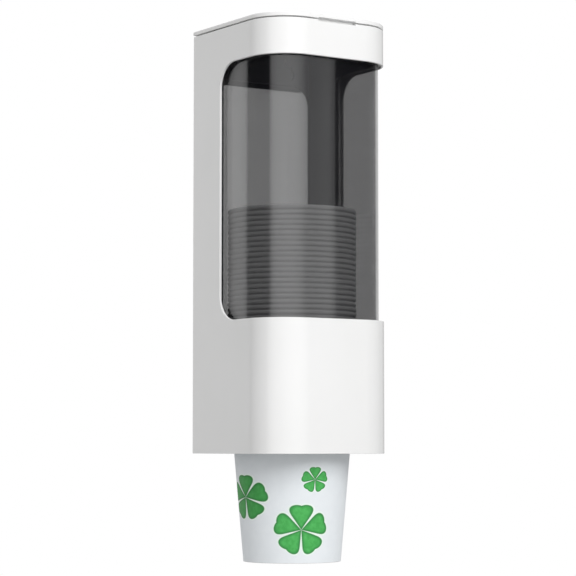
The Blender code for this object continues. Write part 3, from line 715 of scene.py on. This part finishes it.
# Base screws: bright steel pan heads with a cross recess, driven up from below. Four hold the housing,
# two the guide frame, and one clamps each gripper.
seat_z = -0.2355
head_radius = 0.0024
head_depth = 0.0011
head_sides = 24
head_edge = 0.0006
head_edge_steps = 4
recess_reach = 0.0013
recess_half_width = 0.00024
recess_roof = 0.0004
recess_overrun = 0.001
shank_radius = 0.0011
thread_depth = 0.0002
thread_pitch = 0.0009
thread_turns = 10
thread_rise = 0.35
thread_fall = 0.65
thread_swell = 1.22
tip_taper = 0.3
screw_smooth_deg = 30.0
screw_steel = (0.66, 0.66, 0.68)
screw_worn = (0.58, 0.58, 0.60)
screw_finish = moulded(
    "screw_bright_steel", screw_steel, screw_worn, drift=0.002, grain=0.0002, depth=0.000003,
    rough=(0.22, 0.34), Metallic=1.0)


def model_screw():
    """One pan-head screw at the middle of the plan: head, cross recess and threaded shank."""
    face_z = seat_z - head_depth
    head = rod("screw", head_radius, (0, 0, face_z), (0, 0, seat_z), head_sides)
    round_edges(
        head, lambda points: all(near(p.z, face_z) for p in points), head_edge, head_edge_steps)
    pick(head, "FACE", lambda points: all(near(p.z, seat_z) for p in points))
    bpy.ops.mesh.inset(thickness=head_radius - shank_radius + thread_depth, depth=0.0)
    for turn in range(thread_turns):
        narrowing = tip_taper if turn == thread_turns - 1 else 1 / thread_swell
        for rise, share in ((thread_rise, thread_swell), (thread_fall, narrowing)):
            bpy.ops.mesh.extrude_region_move(
                TRANSFORM_OT_translate={"value": (0, 0, rise * thread_pitch)})
            bpy.ops.transform.resize(value=(share, share, 1), center_override=(0, 0, seat_z))
    bpy.ops.object.mode_set(mode="OBJECT")
    for x, y in ((recess_reach, recess_half_width), (recess_half_width, recess_reach)):
        recess = block("recess", (-x, -y, face_z - recess_overrun), (x, y, seat_z - recess_roof))
        combine(head, recess, "DIFFERENCE")
    smooth(head, screw_smooth_deg)
    return head


screw_model = model_screw()
cabinet_screws = (
    "housing_screw_front_left", "housing_screw_front_right", "housing_screw_rear_left",
    "housing_screw_rear_right", "frame_screw_left", "frame_screw_right")
screw_rides = {node_name: "cabinet" for node_name in cabinet_screws}
screw_rides.update({"clamp_screw_" + gripper: "gripper_" + gripper for gripper in gripper_names})
for node_name, body in screw_rides.items():
    low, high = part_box(node_name)
    make_active(screw_model)
    bpy.ops.object.duplicate()
    screw = bpy.context.object
    screw.name = node_name + "_turned"
    screw.location = ((low.x + high.x) / 2, (low.y + high.y) / 2, 0)
    bpy.ops.object.transform_apply(location=True, rotation=True, scale=True)
    fit(screw, body, screw_finish, "screw_steel", node_name)
bpy.data.objects.remove(screw_model, do_unlink=True)

# Lid: a thin glossy white cap over the top, hinged at the rear on two steel pins. A rib below it fits
# inside the housing, and a shallow notch in its front edge takes a fingertip.
hinge_y = -0.0044
hinge_z = 0.0166
lid_low_z = 0.0154
lid_top_z = 0.0178
lid_top_edge = 0.0006
lid_top_steps = 4
lid_low_edge = 0.0002
lid_low_steps = 2
lid_rear_radius = 0.00117
lid_rear_x = 0.0444
rib_inset = 0.0032
rib_wall = 0.0012
rib_rear_y = -0.0238
rib_low_z = 0.0133
barrel_radius = 0.0016
barrel_inner_x = 0.0140
barrel_outer_x = 0.0240
knuckle_outer_x = 0.0326
knuckle_room = 0.0019
room_low_z = 0.010
room_high_z = 0.022
bore_radius = 0.0009
bore_inner_x = 0.0150
bore_outer_x = 0.0250
bore_sides = 16
lid_notch_low_z = 0.010
lid_notch_depth = 0.0031
lid_notch_rise = 0.0006
lid_white = (0.880, 0.880, 0.877)
lid_worn = (0.860, 0.860, 0.855)


def hinge_rod(name, radius, from_x, to_x, sides=32):
    """A round bar on the hinge's axis between two places across the lid."""
    return rod(name, radius, (from_x, hinge_y, hinge_z), (to_x, hinge_y, hinge_z), sides)


lid = block("lid_cap", (-half_width, front_y, lid_low_z), (half_width, hinge_y, lid_top_z))
round_edges(
    lid, lambda points: all(near(p.y, front_y) for p in points) and near(points[0].x, points[1].x),
    corner_radius, bend_steps)
round_edges(
    lid, lambda points: all(on_outside(p) and near(p.z, lid_top_z) for p in points),
    lid_top_edge, lid_top_steps)
round_edges(
    lid, lambda points: all(on_outside(p) and near(p.z, lid_low_z) for p in points),
    lid_low_edge, lid_low_steps)
combine(lid, hinge_rod("bar", lid_rear_radius, -lid_rear_x, lid_rear_x), "UNION")
combine(lid, bent_wall("rib", rib_inset, rib_wall, rib_rear_y, rib_low_z, hinge_z), "UNION")
for sign in (-1, 1):
    combine(lid, hinge_rod("bar", barrel_radius, sign * barrel_inner_x, sign * barrel_outer_x), "UNION")
    ends = sorted((sign * barrel_outer_x, sign * knuckle_outer_x))
    room = block(
        "knuckle_gap", (ends[0], hinge_y - knuckle_room, room_low_z), (ends[1], 0.0, room_high_z))
    combine(lid, room, "DIFFERENCE")
    bore_ends = sorted((sign * bore_inner_x, sign * bore_outer_x))
    combine(lid, hinge_rod("bore", bore_radius, *bore_ends, bore_sides), "DIFFERENCE")
lid_notch = block(
    "finger_notch", (-notch_half_width, front_y - overrun, lid_notch_low_z),
    (notch_half_width, front_y + lid_notch_depth, lid_low_z + lid_notch_rise))
combine(lid, lid_notch, "DIFFERENCE")
smooth(lid)
lid_finish = moulded(
    "lid_gloss", lid_white, lid_worn, drift=0.050, grain=0.0016, depth=0.0000035, rough=(0.20, 0.28))
fit(lid, "lid", lid_finish, "lid_white", "lid")

# Hinge pins: two short pins of ground steel, pressed into the frame's knuckles at the top of the back.
# The lid's barrels turn on them.
pin_radius = 0.0006
pin_sides = 24
pin_edge = 0.00015
pin_steel = (0.62, 0.62, 0.64)
pin_worn = (0.55, 0.55, 0.57)
pin_finish = moulded(
    "pin_ground_steel", pin_steel, pin_worn, drift=0.003, grain=0.0002, depth=0.000002,
    rough=(0.20, 0.30), Metallic=1.0)
for side_name in ("left", "right"):
    low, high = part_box("hinge_pin_" + side_name)
    pin = hinge_rod("pin_" + side_name, pin_radius, low.x, high.x, pin_sides)
    soften(pin, pin_edge)
    smooth(pin)
    fit(pin, "cabinet", pin_finish, "pin_steel", "hinge_pin_" + side_name)

# Cups: tapered white paper cups with a rolled rim and a recessed floor, printed outside with five-leaf
# clovers. One hangs by its rim from the fingers. The 34 nested above it show only their rims, left plain
# in a greyer paper tone that is painted shade for the dark inside the cabinet.
axis_y = -0.0445
rim_radius = 0.0385
base_radius = 0.02885
cup_height = 0.0974
cup_slope = 0.0868
cup_wall = 0.00022
roll_radius = 0.00075
roll_sweep_deg = 300
hanging_roll_rise = 0.0009
hanging_roll_steps = 14
hanging_sides = 128
nested_roll_rise = 0.0012
nested_roll_steps = 9
nested_sides = 96
cup_smooth_deg = 50.0
floor_rise = 0.0024
floor_wall = 0.0003
floor_corner = 0.0004
foot_corner = 0.0001
corner_rise = 0.0003
cup_pitch = 0.00307
hanging_base_z = -0.3004
lowest_base_z = -0.2910
stacked_cups = 34
# The plain paper below is greyer than the printed paper. The grey is painted shade for the dark inside the
# cabinet, and the hanging cup's inside, rim and floor share it.
shade_darkened_white = (0.712, 0.715, 0.715)
shade_darkened_fibre = (0.690, 0.693, 0.693)
printed_white = (0.860, 0.897, 0.924)
printed_fibre = (0.838, 0.876, 0.905)
leaf_green = (0.050, 0.370, 0.072)
leaf_light = (0.085, 0.480, 0.112)
leaf_rim = (0.020, 0.210, 0.042)
leaf_painted_shade = (0.012, 0.165, 0.020)
halo_green = (0.86, 0.98, 0.89)
ink_band = (0.3, 0.7)
vein_scale = 420.0
vein_detail = 2.0
leaf_rim_depth = 0.13
leaf_edge_band = (-0.015, 0.015)
halo_band = (-0.06, -0.03)
# Painted shade on the leaves: from the cup's left, far side round to the back, they blend toward a darker
# green. The pair gives the turn in degrees where this is full and where it ends. The share after it is how
# much of the unshaded leaf tone stays where the shade is full.
painted_shade_turn_deg = (-72, -45)
painted_shade_keep = 0.6
leaf_half_deg = 36
lobe_deg = 17
lobe_dip = 0.06
leaf_reach = 1.02
leaf_spread_deg = 32
leaf_roundness = 0.4
print_foot_margin = 0.0002
print_rim_margin = 0.0018
outer_wall_band = 0.00012
# Each clover: its turn in degrees, its height on the cup, its radius, and how much wider than tall it is.
clover_places = [
    (-23.7, 0.0195, 0.0145, 1.10), (-9.9, 0.0485, 0.0073, 1.12), (-91.0, 0.0380, 0.0130, 1.35),
    (88.0, 0.0230, 0.0140, 1.14), (80.0, 0.0560, 0.0074, 1.12), (148.0, 0.0420, 0.0120, 1.14),
    (-150.0, 0.0170, 0.0090, 1.12),
]


def turned(name, rings, sides, low_z):
    """A body turned about the cups' axis, drawn ring by ring from (radius, height) pairs."""
    first_radius, first_height = rings[0]
    bpy.ops.object.select_all(action="DESELECT")
    bpy.ops.mesh.primitive_circle_add(
        vertices=sides, radius=first_radius, fill_type="NGON",
        location=(0, axis_y, low_z + first_height))
    piece = bpy.context.object
    piece.name = name
    piece.data.name = name
    bpy.ops.object.transform_apply(location=True, rotation=True, scale=True)
    bpy.ops.object.mode_set(mode="EDIT")
    bpy.ops.mesh.select_mode(type="EDGE")
    bpy.ops.mesh.select_all(action="SELECT")
    for (radius, height), (next_radius, next_height) in zip(rings, rings[1:]):
        bpy.ops.mesh.extrude_edges_move(
            TRANSFORM_OT_translate={"value": (0, 0, next_height - height)})
        share = next_radius / radius
        bpy.ops.transform.resize(value=(share, share, 1), center_override=(0, axis_y, low_z))
    bpy.ops.mesh.edge_face_add()
    bpy.ops.mesh.select_all(action="SELECT")
    bpy.ops.mesh.normals_make_consistent(inside=False)
    bpy.ops.object.mode_set(mode="OBJECT")
    return piece


def cup_rings(roll_steps, roll_rise):
    """A cup's section as (radius, height) pairs: inner floor, wall, oval rolled rim, wall and foot."""
    inner_floor = floor_rise + floor_wall
    roll_middle = rim_radius - roll_radius
    roll_height = cup_height - roll_rise
    inner_radius = base_radius + cup_slope * inner_floor - cup_wall
    rings = [(inner_radius - floor_corner, inner_floor), (inner_radius, inner_floor + corner_rise)]
    for step in range(roll_steps + 1):
        angle = math.radians(180 - roll_sweep_deg * step / roll_steps)
        rings.append(
            (roll_middle + roll_radius * math.cos(angle), roll_height + roll_rise * math.sin(angle)))
    neck = roll_height - roll_rise
    skirt_radius = base_radius - 2 * cup_wall
    rings += [
        (base_radius + cup_slope * neck, neck), (base_radius + cup_slope * corner_rise, corner_rise),
        (base_radius - foot_corner, 0.0), (skirt_radius, 0.0), (skirt_radius, floor_rise)]
    return rings


def clover(tree, turn, height, place):
    """How deep a point lies in one five-leaf clover: 0 on a leaf's edge and negative outside."""
    turn_deg, rise, radius, stretch = place
    here_radius = base_radius + cup_slope * rise
    offset = work_out(tree, "SUBTRACT", turn, math.radians(turn_deg))
    across = work_out(tree, "MULTIPLY", offset, here_radius / radius / stretch)
    up = work_out(tree, "DIVIDE", work_out(tree, "SUBTRACT", height, rise), radius)
    reach = work_out(tree, "SQRT", work_out(
        tree, "ADD", work_out(tree, "MULTIPLY", across, across), work_out(tree, "MULTIPLY", up, up)))
    angle = work_out(tree, "ARCTAN2", across, up)
    fold = work_out(tree, "PINGPONG", angle, math.radians(leaf_half_deg))
    lobe = math.radians(lobe_deg)
    off_lobe = work_out(tree, "DIVIDE", work_out(tree, "SUBTRACT", fold, lobe), lobe)
    dip = work_out(tree, "MULTIPLY", work_out(tree, "MULTIPLY", off_lobe, off_lobe), lobe_dip)
    top = work_out(tree, "SUBTRACT", work_out(tree, "SUBTRACT", leaf_reach, dip), reach)
    spread = work_out(tree, "SINE", work_out(tree, "SUBTRACT", math.radians(leaf_spread_deg), fold))
    side = work_out(tree, "MULTIPLY", reach, spread)
    return work_out(tree, "SMOOTH_MIN", top, side, leaf_roundness)


def mask(tree, depth, low, high):
    """0 to 1 over a range of depths."""
    return node(
        tree, "ShaderNodeMapRange", {"Value": depth, "From Min": low, "From Max": high},
        interpolation_type="SMOOTHSTEP").outputs[0]


def blend_tones(tree, share, tone, other):
    """Goes from one tone to another as a share goes from 0 to 1."""
    return node(tree, "ShaderNodeMix", {0: share, 6: tone, 7: other}, data_type="RGBA").outputs[2]


def make_cup_paper(name, tone, worn, printed):
    """White uncoated paper with short fibres, printed with clovers or left plain. On the printed paper,
    the leaves on the cup's left, far side carry painted shade.
    """
    finish = moulded(name, tone, worn, drift=0.006, grain=0.0005, depth=0.000012, rough=(0.52, 0.66))
    if not printed:
        return finish
    tree = finish.node_tree
    shader = tree.nodes["Principled BSDF"]
    paper_tone = shader.inputs["Base Color"].links[0].from_socket
    place = node(tree, "ShaderNodeTexCoord").outputs["Object"]
    parts = node(tree, "ShaderNodeSeparateXYZ", {0: place})
    depth = work_out(tree, "SUBTRACT", axis_y, parts.outputs["Y"])
    turn = work_out(tree, "ARCTAN2", parts.outputs["X"], depth)
    height = work_out(tree, "SUBTRACT", parts.outputs["Z"], hanging_base_z)
    leaf = -1.0
    for spot in clover_places:
        leaf = work_out(tree, "MAXIMUM", clover(tree, turn, height, spot), leaf)
    veins = node(
        tree, "ShaderNodeTexNoise", {"Vector": place, "Scale": vein_scale, "Detail": vein_detail})
    ink = node(tree, "ShaderNodeValToRGB", {0: veins.outputs["Fac"]})
    set_ramp(ink.color_ramp, [(ink_band[0], leaf_green), (ink_band[1], leaf_light)])
    rim = work_out(tree, "SUBTRACT", 1.0, mask(tree, leaf, 0.0, leaf_rim_depth))
    edged = blend_tones(tree, rim, ink.outputs["Color"], (*leaf_rim, 1))
    # Painted shade: the leaves on the cup's left, far side blend toward a darker green.
    out_of_painted_shade = mask(tree, turn, math.radians(painted_shade_turn_deg[0]), math.radians(painted_shade_turn_deg[1]))
    unshaded_share = work_out(tree, "ADD", work_out(tree, "MULTIPLY", out_of_painted_shade, 1 - painted_shade_keep), painted_shade_keep)
    leaf_with_painted_shade = blend_tones(tree, unshaded_share, (*leaf_painted_shade, 1), edged)
    pale = blend_tones(tree, mask(tree, leaf, *halo_band), paper_tone, (*halo_green, 1))
    print_tone = blend_tones(tree, mask(tree, leaf, *leaf_edge_band), pale, leaf_with_painted_shade)
    tree.links.new(print_tone, shader.inputs["Base Color"])
    return finish


# The plain paper's greyer tone is painted shade.
shade_darkened_paper = make_cup_paper("cup_paper_plain_shade_darkened", shade_darkened_white, shade_darkened_fibre, False)
printed_paper = make_cup_paper("cup_paper_printed", printed_white, printed_fibre, True)


def paint_cup(piece, low_z):
    """Prints the outer wall only: the inside, the rim and the floor stay plain, in the greyer paper whose
    tone is painted shade.
    """
    piece.data.materials.clear()
    piece.data.materials.append(shade_darkened_paper)
    piece.data.materials.append(printed_paper)
    for face in piece.data.polygons:
        reach = math.hypot(face.center.x, face.center.y - axis_y)
        rise = face.center.z - low_z
        outer = base_radius + cup_slope * rise
        on_wall = abs(reach - outer) < outer_wall_band
        between = print_foot_margin < rise < cup_height - print_rim_margin
        face.material_index = int(on_wall and between)


hanging_rings = cup_rings(hanging_roll_steps, hanging_roll_rise)
hanging = turned("cup_hanging", hanging_rings, hanging_sides, hanging_base_z)
smooth(hanging, cup_smooth_deg)
paint_cup(hanging, hanging_base_z)
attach(hanging, "hanging_cup")
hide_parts("hanging_cup")

nested_rings = cup_rings(nested_roll_steps, nested_roll_rise)
nested = turned("cup_nested_01", nested_rings, nested_sides, lowest_base_z)
smooth(nested, cup_smooth_deg)
nested.data.materials.append(shade_darkened_paper)
stack = [nested]
for number in range(2, stacked_cups + 1):
    make_active(nested)
    bpy.ops.object.duplicate()
    copy = bpy.context.object
    copy.name = f"cup_nested_{number:02d}"
    copy.location.z += (number - 1) * cup_pitch
    bpy.ops.object.transform_apply(location=True, rotation=True, scale=True)
    stack.append(copy)
for cup in stack:
    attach(cup, "cup_stack")
    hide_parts("cup_stack")
